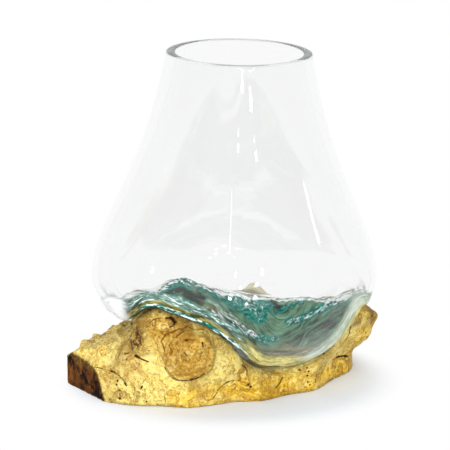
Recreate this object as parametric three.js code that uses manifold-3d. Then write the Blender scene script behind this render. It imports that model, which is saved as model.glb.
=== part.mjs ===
// Glass bowl on root: a clear blown bowl that slumped, while hot, over a sawn root burl and rests on it.
// Millimetres, +Z up, front towards -Y. The origin is on the root's sawn underside, below the middle of
// the bowl's belly.

import * as THREE from 'three';
import { ParametricGeometry } from 'three/addons/geometries/ParametricGeometry.js';
import { mergeGeometries, mergeVertices } from 'three/addons/utils/BufferGeometryUtils.js';
import Module from 'manifold-3d';

const wasm = await Module();
wasm.setup();

// Bowl, outside.
const bellyRadius = 120.5;
const bellyHeight = 84;
const bowlHeight = 276;
const rimRadius = 60.3;
const flankUpright = 46;
const neckTaper = 110;
const neckFlare = 19.3;
const freeSag = 80;
const leanAngle = THREE.MathUtils.degToRad(1.15);

// Bowl, walls.
const rimWall = 7.5;
const bellyWall = 4.5;
const baseWall = 7;

// How the bowl sits: the hot glass sank into the wood by seatDepth, and draped off it with a soft bend.
const seatDepth = 1.5;
const seatClearance = 0.45;
const drapeSoftness = 14;

// Root: height of its top without the swells, at the front and at the back.
const topFloor = { front: 21, back: 40, frontY: -45, backY: 75 };

// Swells of the root's top. Each follows a straight crest, and rises and spreads as given at its two ends.
const swells = {
  leftRidge: { from: [-62, -98], to: [-46, -7], rise: [63, 42], spread: [58, 32] },
  ridgeTail: { from: [-42, 25], to: [-24, 75], rise: [7, 7], spread: [21, 26] },
  frontLip: { from: [-18, -98], to: [-47, -88], rise: [30, 12], spread: [32, 26] },
  leftWing: { from: [-116, -46], to: [-88, -18], rise: [5, 15], spread: [20, 38] },
  rightArm: { from: [110, -50], to: [105, 13], rise: [54, 29], spread: [32, 26] },
  longFold: { from: [88, 60], to: [42, -30], rise: [6, 4], spread: [9, 9] },
  middleFold: { from: [-22, 48], to: [-8, -12], rise: [7, 4], spread: [10, 9] },
  backFall: { from: [-5, 112], to: [78, 96], rise: [-14, -14], spread: [26, 26] },
  backKnob: { from: [18, 106], to: [18, 110], rise: [24, 24], spread: [13, 13] },
};

// The bowl hangs clear of the low left wing, and higher there than a round bottom would.
const leftHang = { from: [-102, -38], to: [-90, -8], rise: [18, 14], spread: [29, 34] };

// Swells that only the wood has: it falls away under the hanging glass, and stands up along the saw cut.
const bareSwells = {
  leftHollow: { from: [-103, -28], to: [-85, 35], rise: [-11, -9], spread: [13, 50] },
  sawnEdge: { from: [-139, -41], to: [-124, -62], rise: [9, 15], spread: [10, 11] },
};

// Root: foot of the side, walking round from the left end along the front. flare is how far the top edge
// stands out past the foot, belly how far the side swells halfway up.
const rootMiddle = new THREE.Vector2(-8, 0);
const sideStations = [
  { x: -142, y: -68, flare: -30, belly: -6 },
  { x: -111, y: -79, flare: -31, belly: -7 },
  { x: -94, y: -86, flare: -20, belly: 1 },
  { x: -76, y: -90, flare: -8, belly: 2 },
  { x: -57, y: -91, flare: -4, belly: 4 },
  { x: -38, y: -94, flare: -6, belly: 3 },
  { x: -19, y: -89, flare: -7, belly: 4 },
  { x: 0, y: -81, flare: -6, belly: 2 },
  { x: 24, y: -78, flare: -4, belly: 2 },
  { x: 44, y: -65, flare: -1, belly: 2 },
  { x: 67, y: -54, flare: 4, belly: 1 },
  { x: 84, y: -28, flare: 15, belly: -1 },
  { x: 99, y: -8, flare: 20, belly: -2 },
  { x: 103, y: 18, flare: 13, belly: -3 },
  { x: 99, y: 48, flare: 3, belly: 3 },
  { x: 78, y: 72, flare: -4, belly: 4 },
  { x: 46, y: 88, flare: -5, belly: 3 },
  { x: 17, y: 111, flare: -2, belly: 3 },
  { x: -16, y: 94, flare: -6, belly: 2 },
  { x: -50, y: 88, flare: -6, belly: 5 },
  { x: -84, y: 70, flare: -7, belly: 3 },
  { x: -110, y: 42, flare: -9, belly: 5 },
  { x: -127, y: 8, flare: -5, belly: 3 },
  { x: -140, y: -33, flare: 1, belly: 0 },
];
const edgeDrop = 5;

// The sawn left end: a plane through two points of the table line.
const sawCut = { back: new THREE.Vector2(-140, -39), front: new THREE.Vector2(-108, -80) };

// The round burl on the front, and the knob over it.
const burl = { x: -37, y: -93, z: 43, radius: 21, proud: 6, groove: 1.6 };
const knob = { x: -61, y: -78, z: 62, radius: 20, width: 1.15, depth: 0.75, height: 0.9 };

// Facets: how finely each surface is divided.
const bowlTurnSteps = 80;
const outerBottomSteps = 19;
const outerFlankSteps = 9;
const innerFlankSteps = 7;
const innerBottomSteps = 11;
const rootTurnSteps = 112;
const undersideSteps = 1;
const sideSteps = 7;
const topSteps = 11;

const { lerp, clamp, smoothstep } = THREE.MathUtils;

// Height of one swell over a point of the plan.
function swellHeight({ from, to, rise, spread }, x, y) {
  const alongX = to[0] - from[0];
  const alongY = to[1] - from[1];
  const length2 = alongX * alongX + alongY * alongY;
  const t = clamp(((x - from[0]) * alongX + (y - from[1]) * alongY) / length2, 0, 1);
  const away = Math.hypot(x - from[0] - t * alongX, y - from[1] - t * alongY);
  return lerp(rise[0], rise[1], t) * Math.exp(-((away / lerp(spread[0], spread[1], t)) ** 2));
}

// Height of all swells of a group over a point of the plan.
function swellsHeight(group, x, y) {
  return Object.values(group).reduce((height, swell) => height + swellHeight(swell, x, y), 0);
}

// Height of the form that the wood and the glass share, over a point of the plan.
function sharedHeight(x, y) {
  const floor = lerp(topFloor.front, topFloor.back, smoothstep(y, topFloor.frontY, topFloor.backY));
  return floor + swellsHeight(swells, x, y);
}

// Height of the root's grown top over a point of the plan.
function rootTop(x, y) {
  return sharedHeight(x, y) + swellsHeight(bareSwells, x, y);
}

// Height that the bowl's underside comes to rest at over a point of the plan, before it is draped.
function seatHeight(x, y) {
  return sharedHeight(x, y) + swellHeight(leftHang, x, y) - seatDepth;
}

// Steepness factor of the seat: true length over plan length across the slope.
function seatSlant(x, y) {
  const step = 0.5;
  const dx = (seatHeight(x + step, y) - seatHeight(x - step, y)) / (2 * step);
  const dy = (seatHeight(x, y + step) - seatHeight(x, y - step)) / (2 * step);
  return Math.hypot(1, dx, dy);
}

// The higher of two heights, blended over a width where they are close.
function drapeOver(free, support, width) {
  const mix = clamp(0.5 + (0.5 * (free - support)) / width, 0, 1);
  return lerp(support, free, mix) + width * mix * (1 - mix);
}

// Outer profile of the freely blown bowl, from the middle of its bottom up to its rim, grown by a margin.
function outerProfile(grow) {
  const bottom = new THREE.EllipseCurve(
    0, bellyHeight, bellyRadius + grow, freeSag + grow, -Math.PI / 2, 0,
  ).getSpacedPoints(outerBottomSteps);
  const flank = new THREE.CubicBezierCurve(
    new THREE.Vector2(bellyRadius + grow, bellyHeight),
    new THREE.Vector2(bellyRadius + grow, bellyHeight + flankUpright),
    new THREE.Vector2(rimRadius + neckFlare + grow, bowlHeight - neckTaper),
    new THREE.Vector2(rimRadius + grow, bowlHeight + grow),
  ).getSpacedPoints(outerFlankSteps);
  bottom[0].x = 0;
  return [...bottom, ...flank.slice(1)];
}

// Inner profile, from the rim down to the middle of the inside of the bottom.
function innerProfile() {
  const insideBelly = bellyRadius - bellyWall;
  const insideRim = rimRadius - rimWall;
  const flank = new THREE.CubicBezierCurve(
    new THREE.Vector2(insideRim, bowlHeight),
    new THREE.Vector2(insideRim + neckFlare, bowlHeight - neckTaper),
    new THREE.Vector2(insideBelly, bellyHeight + flankUpright),
    new THREE.Vector2(insideBelly, bellyHeight),
  ).getSpacedPoints(innerFlankSteps);
  const bottom = new THREE.EllipseCurve(
    0, bellyHeight, insideBelly, freeSag - baseWall, 0, -Math.PI / 2, true,
  ).getSpacedPoints(innerBottomSteps);
  bottom[bottom.length - 1].x = 0;
  return [...flank, ...bottom.slice(1)];
}

// Turns a profile, leans it about the middle of the belly, and drapes what is low over a support height.
function blow(profile, supportAt) {
  const geometry = new THREE.LatheGeometry(profile, bowlTurnSteps);
  geometry.rotateX(Math.PI / 2);
  geometry.translate(0, 0, -bellyHeight);
  geometry.rotateY(leanAngle);
  geometry.translate(0, 0, bellyHeight);
  const points = geometry.getAttribute('position');
  for (let i = 0; i < points.count; i += 1) {
    const x = points.getX(i);
    const y = points.getY(i);
    points.setZ(i, drapeOver(points.getZ(i), supportAt(x, y), drapeSoftness));
  }
  return geometry;
}

// Shares the vertices of a closed surface, drops facets that shrank to a line, and turns it outside out.
function sealed(geometry) {
  geometry.deleteAttribute('uv');
  geometry.deleteAttribute('normal');
  const merged = mergeVertices(geometry, 1e-3);
  const index = merged.getIndex().array;
  const points = merged.getAttribute('position').array;
  const corner = [new THREE.Vector3(), new THREE.Vector3(), new THREE.Vector3()];
  const kept = [];
  let volume = 0;
  for (let i = 0; i < index.length; i += 3) {
    const [a, b, c] = [index[i], index[i + 1], index[i + 2]];
    if (a === b || b === c || c === a) continue;
    kept.push(a, b, c);
    [a, b, c].forEach((vertex, k) => corner[k].fromArray(points, 3 * vertex));
    volume += corner[0].dot(corner[1].cross(corner[2]));
  }
  if (volume < 0) kept.reverse();
  return { vertices: new Float32Array(points), triangles: new Uint32Array(kept) };
}

function toSolid(geometry) {
  const { vertices, triangles } = sealed(geometry);
  return new wasm.Manifold(new wasm.Mesh({ numProp: 3, vertProperties: vertices, triVerts: triangles }));
}

function toGeometry(solid) {
  const { numProp, vertProperties, triVerts } = solid.getMesh();
  const points = [];
  for (let i = 0; i < vertProperties.length; i += numProp) {
    points.push(vertProperties[i], vertProperties[i + 1], vertProperties[i + 2]);
  }
  const geometry = new THREE.BufferGeometry();
  geometry.setAttribute('position', new THREE.Float32BufferAttribute(points, 3));
  geometry.setIndex([...triVerts]);
  geometry.computeVertexNormals();
  return geometry;
}

// The bowl: an outer and an inner skin turned in one profile, each draped at its own height over the root.
function makeBowl() {
  const outer = outerProfile(0);
  const outerSkin = blow(outer, seatHeight);
  const rimAndInner = [outer[outer.length - 1], ...innerProfile()];
  const innerSkin = blow(rimAndInner, (x, y) => seatHeight(x, y) + baseWall);
  return mergeGeometries([outerSkin, innerSkin]);
}

// Everything the root must keep clear of: the bowl grown all round by the seat clearance, without a hollow.
function makeSeatCutter() {
  const profile = outerProfile(seatClearance);
  profile.push(new THREE.Vector2(0, bowlHeight + seatClearance));
  return blow(profile, (x, y) => seatHeight(x, y) - seatClearance * seatSlant(x, y));
}

// The root's surface from the middle of its underside, up the side and over the top to the middle.
function makeRootBlock() {
  const feet = new THREE.CatmullRomCurve3(
    sideStations.map(({ x, y }) => new THREE.Vector3(x, y, 0)), true,
  );
  const shapes = new THREE.CatmullRomCurve3(
    sideStations.map(({ flare, belly }) => new THREE.Vector3(flare, belly, 0)), true,
  );
  const rows = undersideSteps + sideSteps + topSteps;
  const foot = new THREE.Vector3();
  const shape = new THREE.Vector3();
  const outward = new THREE.Vector2();
  const place = (u, v, target) => {
    feet.getPoint(u % 1, foot);
    shapes.getPoint(u % 1, shape);
    outward.set(foot.x, foot.y).sub(rootMiddle).normalize();
    const row = Math.round(v * rows);
    if (row <= undersideSteps) {
      const t = row / undersideSteps;
      target.set(lerp(rootMiddle.x, foot.x, t), lerp(rootMiddle.y, foot.y, t), 0);
      return;
    }
    const edgeX = foot.x + outward.x * shape.x;
    const edgeY = foot.y + outward.y * shape.x;
    if (row <= undersideSteps + sideSteps) {
      const w = (row - undersideSteps) / sideSteps;
      const lean = shape.x * smoothstep(w, 0.2, 0.95) + shape.y * 4 * w * (1 - w);
      const reach = shape.x < 0 ? Math.max(lean, shape.x) : lean;
      const rounding = smoothstep(-shape.x, -10, 5);
      const rise = lerp(w, Math.sin((w * Math.PI) / 2), rounding);
      const height = (rootTop(edgeX, edgeY) - edgeDrop) * rise;
      target.set(foot.x + outward.x * reach, foot.y + outward.y * reach, height);
      return;
    }
    const inward = (row - undersideSteps - sideSteps) / topSteps;
    const x = lerp(edgeX, rootMiddle.x, inward);
    const y = lerp(edgeY, rootMiddle.y, inward);
    target.set(x, y, rootTop(x, y) - edgeDrop * Math.exp(-((inward * topSteps) ** 2) / 1.2));
  };
  return new ParametricGeometry(place, rootTurnSteps, rows);
}

// The burl: a low turned dome with a groove round it, facing the front.
function makeBurl() {
  const { radius, proud, groove } = burl;
  const profile = new THREE.SplineCurve([
    new THREE.Vector2(radius, -12),
    new THREE.Vector2(radius, 0.2 * proud),
    new THREE.Vector2(0.92 * radius, 0.72 * proud),
    new THREE.Vector2(0.8 * radius, 0.8 * proud - groove),
    new THREE.Vector2(0.66 * radius, 0.95 * proud),
    new THREE.Vector2(0.35 * radius, 1.1 * proud),
    new THREE.Vector2(0, 1.12 * proud),
  ]).getPoints(14);
  const dome = new THREE.LatheGeometry([new THREE.Vector2(0, -12), ...profile], 36);
  dome.rotateX(Math.PI);
  dome.translate(burl.x, burl.y, burl.z);
  return dome;
}

function makeKnob() {
  const lump = new THREE.SphereGeometry(knob.radius, 28, 16);
  lump.scale(knob.width, knob.depth, knob.height);
  lump.translate(knob.x, knob.y, knob.z);
  return lump;
}

// The block that the saw took off the left end, upright and square to the cut.
function makeSawnOff() {
  const { back, front } = sawCut;
  const along = new THREE.Vector2().subVectors(front, back);
  const middle = new THREE.Vector2().addVectors(front, back).multiplyScalar(0.5);
  const size = 200;
  const block = new THREE.BoxGeometry(size, size, size);
  block.translate(0, -size / 2, 0);
  block.rotateZ(along.angle());
  block.translate(middle.x, middle.y, size / 4);
  return block;
}

function makeRoot() {
  return toSolid(makeRootBlock())
    .add(toSolid(makeBurl()))
    .add(toSolid(makeKnob()))
    .subtract(toSolid(makeSawnOff()))
    .subtract(toSolid(makeSeatCutter()));
}

const clearGlass = new THREE.MeshStandardMaterial({ color: '#dfe6e4', roughness: 0.05, metalness: 0 });
const burlWood = new THREE.MeshStandardMaterial({ color: '#c98f3a', roughness: 0.55, metalness: 0 });

const model = new THREE.Group();
const bowl = new THREE.Mesh(toGeometry(toSolid(makeBowl())), clearGlass);
bowl.name = 'glass_bowl';
const root = new THREE.Mesh(toGeometry(makeRoot()), burlWood);
root.name = 'root_base';
model.add(root, bowl);

export default model;
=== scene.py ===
# %% [markdown]
# # A blown bowl that slumped over a root burl
# The real object is two pieces. A clear bowl was blown, and while it was hot it was set down on a sawn piece
# of burled root, so that its underside took the shape of the wood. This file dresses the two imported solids:
# it builds finer skins over them, gives the wood its figure and cracks, and puts the teal smoke and the
# bubbles into the thick base of the bowl. Lengths are worked out in millimetres, as on a drawing, and turned
# into metres only where a mesh is made. The front faces -Y, and up is +Z.

import bmesh
import bpy
import numpy as np
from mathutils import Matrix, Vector
from mathutils.bvhtree import BVHTree


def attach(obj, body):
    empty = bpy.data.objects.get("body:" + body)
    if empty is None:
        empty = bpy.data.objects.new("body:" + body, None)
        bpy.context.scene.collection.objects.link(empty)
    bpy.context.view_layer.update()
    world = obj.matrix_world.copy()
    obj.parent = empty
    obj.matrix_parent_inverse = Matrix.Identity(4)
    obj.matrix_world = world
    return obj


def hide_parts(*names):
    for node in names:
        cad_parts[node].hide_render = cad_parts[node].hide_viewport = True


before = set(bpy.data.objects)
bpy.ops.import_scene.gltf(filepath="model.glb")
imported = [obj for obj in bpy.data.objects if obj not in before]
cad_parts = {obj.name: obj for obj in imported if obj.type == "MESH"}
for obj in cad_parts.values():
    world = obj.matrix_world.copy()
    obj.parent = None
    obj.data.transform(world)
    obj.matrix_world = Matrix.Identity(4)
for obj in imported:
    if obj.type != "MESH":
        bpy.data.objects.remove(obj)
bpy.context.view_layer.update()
scene = bpy.context.scene

# %% [markdown]
# ## The form of the wood and the rest of the bowl
# The root's top is a sloping floor with a few long swells on it. The bowl's underside follows those swells
# where it rests. One function gives that height for any point of the plan, so that the glass, the smoke in
# it and the wood all agree on where they meet. Places on the front are read off its elevation, which is drawn
# as the object is seen from a little above: a point further forward appears lower on it.

# %% Swells of the root, and the height at which the glass rests
belly_radius, belly_height, bowl_height, rim_radius = 120.5, 84.0, 276.0, 60.3
rim_wall, belly_wall, base_wall, free_sag = 7.5, 4.5, 7.0, 80.0
flank_upright, neck_taper, neck_flare = 46.0, 110.0, 19.3
seat_depth, drape_softness, lean = 1.5, 14.0, np.radians(1.15)
# the wall draws in above the arm of the root and where it hangs free at the left, and is lifted there
arm_tuck, left_tuck, left_lift = 4.2, 3.6, 3.4
# the floor of the root's top rises from front to back
floor_front, floor_rise, floor_from, floor_to = 21, 19, -45, 75

root_swells = [
    # crest from, crest to, rise at its ends, spread at its ends
    ((-62, -98), (-46, -7), (63, 42), (58, 32)),
    ((-42, 25), (-24, 75), (7, 7), (21, 26)),
    ((-18, -98), (-47, -88), (30, 12), (32, 26)),
    ((-116, -46), (-88, -18), (5, 15), (20, 38)),
    ((110, -50), (105, 13), (54, 29), (32, 26)),
    ((88, 60), (42, -30), (6, 4), (9, 9)),
    ((-22, 48), (-8, -12), (7, 4), (10, 9)),
    ((-5, 112), (78, 96), (-14, -14), (26, 26)),
    ((18, 106), (18, 110), (24, 24), (13, 13)),
]
left_hang = ((-102, -38), (-90, -8), (18, 14), (29, 34))


def smooth(value, low, high):
    """0 at low and 1 at high, with a soft step between, which may also run downwards."""
    t = np.clip((value - low) / (high - low), 0, 1)
    return t * t * (3 - 2 * t)


def bell(value, middle, width):
    """1 at the middle, falling softly to both sides."""
    return np.exp(-(((value - middle) / width) ** 2))


view_down, view_level = 0.276, 0.961  # sine and cosine of the 16 degrees by which the elevation looks down


def up_on_front(points):
    """Height of points on the front elevation."""
    return view_down * points[..., 1] + view_level * points[..., 2]


def swell(x, y, crest, end, rise, spread):
    """Height of a long swell at a point of the plan."""
    along = np.subtract(end, crest)
    t = np.clip(((x - crest[0]) * along[0] + (y - crest[1]) * along[1]) / (along @ along), 0, 1)
    away = np.hypot(x - crest[0] - t * along[0], y - crest[1] - t * along[1])
    return (rise[0] + (rise[1] - rise[0]) * t) * bell(away, 0, spread[0] + (spread[1] - spread[0]) * t)


def seat_height(x, y):
    """Height of the wood that the glass lies on."""
    height = floor_front + floor_rise * smooth(y, floor_from, floor_to) + sum(swell(x, y, *s) for s in root_swells)
    return height + swell(x, y, *left_hang) - seat_depth


def drape_over(free, support, width=drape_softness):
    """The higher of two heights, with a soft bend where they cross."""
    mix = np.clip(0.5 + 0.5 * (free - support) / width, 0, 1)
    return support + (free - support) * mix + width * mix * (1 - mix)


print("seat under the middle of the belly: %.1f mm" % seat_height(0.0, 0.0))

# %% [markdown]
# ## Chance that repeats
# Blown glass and grown wood are never even. A lattice of random numbers, blended smoothly between its points,
# gives bumps of any size at any place. It starts from a fixed seed, so each run makes the same object.

# %% Smooth random heights
lattice_size = 48
lattice = np.random.default_rng(7).uniform(-1, 1, (lattice_size,) * 3)


def bumps(points, size, shift=0.0):
    """Heights from -1 to 1 at points in millimetres, about size apart."""
    p = np.asarray(points) / size + shift
    cell = np.floor(p).astype(int)
    f = p - cell
    f = f * f * (3 - 2 * f)
    total = 0
    for corner in np.ndindex(2, 2, 2):
        weight = np.prod(np.where(np.array(corner) == 1, f, 1 - f), axis=-1)
        i = (cell + corner) % lattice_size
        total = total + weight * lattice[i[..., 0], i[..., 1], i[..., 2]]
    return total


print("bumps at three points:", bumps([[0, 0, 0], [5, 5, 5], [40, 2, 9]], 10).round(3))

# %% [markdown]
# ## The glass
# The bowl was blown as a body of revolution, leaned a little, and sagged over the wood. A profile turned in
# rings does the first part. Each ring is then lifted to where it is draped. The skin has far more rings than
# the solid under it, because glass shows every facet as a bent line behind it.

# %% Profiles of the bowl and how a ring is laid
turns = 264
angles = np.linspace(0, 2 * np.pi, turns, endpoint=False)


def spaced(curve, steps):
    """Points at equal distances along a finely given curve."""
    run = np.concatenate([[0], np.cumsum(np.linalg.norm(np.diff(curve, axis=0), axis=1))])
    at = np.linspace(0, run[-1], steps)
    return np.stack([np.interp(at, run, curve[:, k]) for k in (0, 1)], 1)


def bottom_curve(radius, sag, steps):
    """Radius and height from the middle of the hanging base out to the belly."""
    t = np.linspace(0, np.pi / 2, 800)
    return spaced(np.stack([radius * np.sin(t), belly_height - sag * np.cos(t)], 1), steps)


def flank_curve(belly, rim, steps):
    """Radius and height from the belly up to the rim, upright at first and tapering at the neck."""
    t = np.linspace(0, 1, 800)[:, None]
    a, b = np.array([belly, belly_height]), np.array([belly, belly_height + flank_upright])
    c, d = np.array([rim + neck_flare, bowl_height - neck_taper]), np.array([rim, bowl_height])
    curve = a * (1 - t) ** 3 + 3 * b * t * (1 - t) ** 2 + 3 * c * t * t * (1 - t) + d * t**3
    return spaced(curve, steps)


def lean_over(points):
    """Tips points to the right about the belly by the bowl's small lean."""
    x, z = points[..., 0].copy(), points[..., 2] - belly_height
    points[..., 0] = x * np.cos(lean) + z * np.sin(lean)
    points[..., 2] = belly_height + z * np.cos(lean) - x * np.sin(lean)
    return points


def rings(profile, lift=0.0):
    """Rings of points for a profile of radius and height, leaned and draped over the seat raised by lift."""
    radius, height = profile[:, :1], profile[:, 1:]
    points = np.stack([radius * np.cos(angles), radius * np.sin(angles), height + 0 * angles[None]], -1)
    points = lean_over(points)
    points[..., 2] = drape_over(points[..., 2], seat_height(points[..., 0], points[..., 1]) + lift)
    x, y, z = np.moveaxis(points, -1, 0)
    reach = np.maximum(np.hypot(x, y), 1)
    turn = (np.degrees(np.arctan2(y, x)) + 200) % 360 - 200
    over_arm = bell(turn, 4, 24) * smooth(z, 86, 70) * smooth(z, 50, 60)
    hanging = bell(turn, -162, 22) * smooth(z, 88, 64)
    tuck = (arm_tuck * over_arm + left_tuck * hanging) * smooth(reach, 84, 104)
    points[..., :2] *= 1 - (tuck / reach)[..., None]
    points[..., 2] += left_lift * hanging * smooth(reach, 70, 104)
    return points


print("one ring has %d points, %.1f mm apart at the belly" % (turns, 2 * np.pi * belly_radius / turns))

# %% Meshes from rings
def put_in_scene(name, data):
    """A new object that shows some data."""
    made = bpy.data.objects.new(name, data)
    scene.collection.objects.link(made)
    return made


def mesh_object(name, points, faces):
    """A smooth mesh from points in millimetres and their faces, in the scene."""
    mesh = bpy.data.meshes.new(name)
    mesh.from_pydata((np.asarray(points) / 1000).tolist(), [], faces)
    mesh.validate()
    mesh.shade_smooth()
    return put_in_scene(name, mesh)


def skin_faces(rows, first=0):
    """Quads between rings that follow each other, with the first ring's number given."""
    faces = []
    for row in range(rows - 1):
        a, b = first + row * turns, first + (row + 1) * turns
        faces += [(a + i, a + (i + 1) % turns, b + (i + 1) % turns, b + i) for i in range(turns)]
    return faces


def cap_faces(centre, ring, flip=False):
    """Triangles from a centre point to the ring that starts at the given point."""
    around = [(ring + i, ring + (i + 1) % turns) for i in range(turns)]
    return [(b, a, centre) if flip else (a, b, centre) for a, b in around]


# %% The outside, rim and inside of the bowl as one closed skin
bottom = bottom_curve(belly_radius, free_sag, 120)[1:]
flank = flank_curve(belly_radius, rim_radius, 62)[1:-1]
inner_flank = flank_curve(belly_radius - belly_wall, rim_radius - rim_wall, 50)[1:-1][::-1]
inner_bottom = bottom_curve(belly_radius - belly_wall, free_sag - base_wall, 80)[1:][::-1]
bevel = 1.0
mouth_radius = rim_radius - rim_wall
near_top = bowl_height - 0.25 * bevel
rim_out = [(rim_radius + 0.1, bowl_height - bevel), (rim_radius - 0.25 * bevel, near_top)]
rim_flat = [(rim_radius - bevel, bowl_height), (mouth_radius + bevel, bowl_height)]
rim_in = [(mouth_radius + 0.25 * bevel, near_top), (mouth_radius, bowl_height - bevel)]

outer_rings = rings(np.array([*bottom, *flank, *rim_out, rim_flat[0]]))
inner_rings = rings(np.array([rim_flat[1], *rim_in, *inner_flank, *inner_bottom]), base_wall)

# the underside took the wood's small lumps, which only ever press upwards into the glass
x, y, z = np.moveaxis(outer_rings, -1, 0)
resting = smooth(z - seat_height(x, y), 6, 1) * smooth(np.hypot(x, y), 117, 105)
pressed = 0.7 * np.abs(bumps(outer_rings, 13, 3.1)) + 0.4 * np.abs(bumps(outer_rings, 6, 8.7))
outer_rings[..., 2] += resting * pressed


def blown_waves(points):
    """Slow waves of the blowing, low on the inside."""
    return smooth(points[..., 2], 95, 60) * 0.55 * bumps(points, 27, 1.4)


inner_rings[..., 2] += blown_waves(inner_rings)

bowl_points = np.concatenate([outer_rings.reshape(-1, 3), inner_rings.reshape(-1, 3)])
outer_pole = [0, 0, drape_over(belly_height - free_sag, seat_height(0.0, 0.0))]
inner_pole = [0, 0, drape_over(belly_height - free_sag + base_wall, seat_height(0.0, 0.0) + base_wall)]
rows = len(outer_rings) + len(inner_rings)
bowl_points = np.vstack([bowl_points, outer_pole, inner_pole])
bowl_faces = skin_faces(rows)
bowl_faces += cap_faces(rows * turns, 0, flip=True)
bowl_faces += cap_faces(rows * turns + 1, (rows - 1) * turns)
bowl = mesh_object("blown_bowl", bowl_points, bowl_faces)
print("bowl: %d points, %d faces" % (len(bowl_points), len(bowl_faces)))

# %% [markdown]
# ## The wood
# The root grew in lumps, folds and round burls, and was sawn flat below and at its left end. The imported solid
# already has the large forms. Here it is divided evenly with a voxel remesh, its facets are smoothed away
# except at the saw cut, and then its surface is pushed in and out by bumps of several sizes. A sculpted mesh
# would do as well, but lumps that come from formulas can be made larger or moved at any time.

# %% A finely divided copy of the root
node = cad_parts["root_base"]
wood = put_in_scene("root_wood", node.data.copy())
remesh = wood.modifiers.new("even", "REMESH")
remesh.mode = "VOXEL"
remesh.voxel_size = 0.0014  # metres
bpy.context.view_layer.update()
even = bpy.data.meshes.new_from_object(wood.evaluated_get(bpy.context.evaluated_depsgraph_get()))
wood.modifiers.clear()
wood.data = even
print("wood, evenly divided: %d points" % len(even.vertices))

# the saw cut at the left end, on the plan
saw_back, saw_front = np.array([-140.0, -39.0]), np.array([-108.0, -80.0])
saw_along = (saw_front - saw_back) / np.linalg.norm(saw_front - saw_back)
saw_out = np.array([saw_along[1], -saw_along[0]])


def read(items, key, width=3, kind=float):
    """One property of all points or edges of a mesh, a row for each."""
    values = np.empty(len(items) * width, dtype=kind)
    items.foreach_get(key, values)
    return values.reshape(-1, width)


def points_of(mesh):
    """A mesh's points in millimetres."""
    return read(mesh.vertices, "co") * 1000


def set_points(mesh, points):
    mesh.vertices.foreach_set("co", (points / 1000).ravel())
    mesh.update()


def relax(points, edges, times, amount):
    """Moves each point part of the way to the middle of its neighbours, by its own amount."""
    count = np.bincount(edges.ravel(), minlength=len(points))[:, None]
    for _ in range(times):
        total = np.zeros_like(points)
        for k in range(3):
            total[:, k] = np.bincount(edges[:, 0], points[edges[:, 1], k], len(points))
            total[:, k] += np.bincount(edges[:, 1], points[edges[:, 0], k], len(points))
        points = points + amount[:, None] * (total / np.maximum(count, 1) - points)
    return points


# %% Facets smoothed away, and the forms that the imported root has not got
facet_passes, knob_passes = 14, 70
arm_swell, tip_swell = 5.0, 2.4
points, edges = points_of(wood.data), read(wood.data.edges, "vertices", 2, int)
from_saw = (points[:, :2] - saw_back) @ saw_out
keep_edge = smooth(np.abs(from_saw), 0.6, 3.5) * smooth(points[:, 2], 0.3, 3.0)
points = relax(points, edges, facet_passes, 0.5 * keep_edge)
# the knob runs softly into the burl beside it
x, y, z = points.T
beside_knob = bell(x, -51, 10) * bell(z, 66, 16) * smooth(y, -68, -80)
points = relax(points, edges, knob_passes, 0.5 * beside_knob)
# the arm swells on its outer side, and its tip stays sharp
x, y, z = points.T
x += arm_swell * bell(up_on_front(points), 27, 8) * smooth(x, 90, 103)
x += tip_swell * bell(up_on_front(points), 47, 5) * smooth(x, 104, 114)
set_points(wood.data, points)
print("wood reaches from %.1f to %.1f mm across" % (x.min(), x.max()))

# %% [markdown]
# ## Cracks, folds and worm holes
# The root is full of drying cracks, soft folds round the burl and small worm holes. Each is a short line of
# points on the surface with a width and a depth. The mesh is divided again along these lines so that they are
# real grooves, and the same lines darken the wood later. The largest ones are placed as on the real root, and
# the sides and the back get more of the same kinds by chance.

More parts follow.
